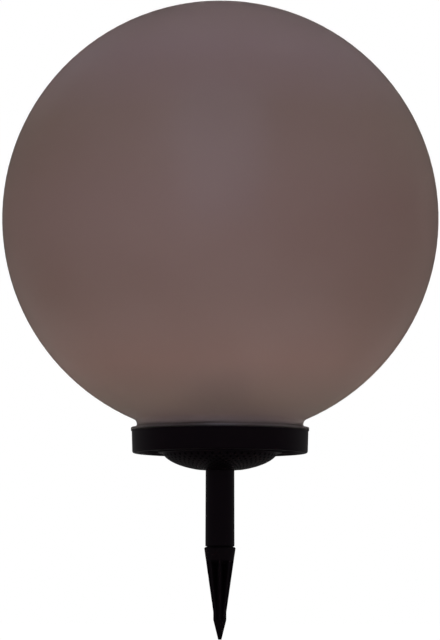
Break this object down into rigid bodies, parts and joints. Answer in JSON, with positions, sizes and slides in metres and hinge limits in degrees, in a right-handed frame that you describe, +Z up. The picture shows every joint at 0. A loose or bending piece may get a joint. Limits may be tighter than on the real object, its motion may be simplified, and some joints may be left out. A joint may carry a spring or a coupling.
{
  "type": "garden globe light",
  "caption": "Smoked satin globe on a shallow black lamp base with a solar cell and a light ring inside, on a short pole with a ground spike.",
  "frame": {"origin": "on the axis of the stake at ground level, at the underside of the collar of the spike, where its blades begin", "axes": "+Z up along the stake, -Y towards the pictured side, +X to the right in the picture"},
  "size_m": [0.3998, 0.3998, 0.5843],
  "materials": {
    "smoked_plastic": "smoked brown, satin, scatters most of the light",
    "black_plastic": "moulded, satin",
    "grey_plastic": "moulded, satin",
    "button_plastic": "moulded, fine grain",
    "seal_rubber": "moulded silicone",
    "screw_steel": "passivated",
    "contact_metal": "nickel plated",
    "circuit_board": "solder mask",
    "light_board": "white solder mask",
    "led_resin": "phosphor resin",
    "clear_plastic": "clear, polished",
    "silicon": "dark blue cell under glass",
    "battery_wrap": "shrink sleeve"
  },
  "bodies": {
    "stake": {"ground_spike": "black_plastic"},
    "pole": {"stake_pole": "black_plastic"},
    "adapter": {"stake_adapter": "black_plastic", "adapter_seal": "seal_rubber"},
    "base": {"base_cup": "black_plastic", "base_deck": "grey_plastic", "deck_gasket": "seal_rubber", "deck_screws": "screw_steel", "globe_seal": "seal_rubber", "battery_door": "black_plastic", "battery_door_seal": "seal_rubber", "battery_door_screws": "screw_steel", "battery_holder": "black_plastic", "battery_cells": "battery_wrap", "contact_springs": "contact_metal", "contact_strip": "contact_metal", "control_board": "circuit_board", "control_board_screws": "screw_steel", "switch_unit": "circuit_board", "button_seal": "seal_rubber", "led_board": "light_board", "led_chips": "led_resin", "led_lens": "clear_plastic", "led_board_screws": "screw_steel", "solar_tower": "grey_plastic", "solar_cell": "silicon", "cell_window": "clear_plastic", "tower_screws": "screw_steel"},
    "button": {"power_button": "button_plastic"},
    "globe": {"globe_shade": "smoked_plastic"}
  },
  "joints": [
    {"name": "pole_pull", "type": "slide", "parent": "stake", "child": "pole", "axis": [0, 0, 1], "range_m": [0, 0.032]},
    {"name": "adapter_pull", "type": "slide", "parent": "pole", "child": "adapter", "axis": [0, 0, 1], "range_m": [0, 0.025]},
    {"name": "base_twist", "type": "hinge", "parent": "adapter", "child": "base", "pos_m": [0, 0, 0.1004], "axis": [0, 0, 1], "range_deg": [0, 42]},
    {"name": "globe_twist", "type": "hinge", "parent": "base", "child": "globe", "pos_m": [0, 0, 0.1169], "axis": [0, 0, 1], "range_deg": [0, 24]},
    {"name": "button_press", "type": "slide", "parent": "base", "child": "button", "axis": [0, 0, 1], "range_m": [0, 0.001], "stiffness_N_per_m": 1200, "springref_m": -0.0004}
  ]
}
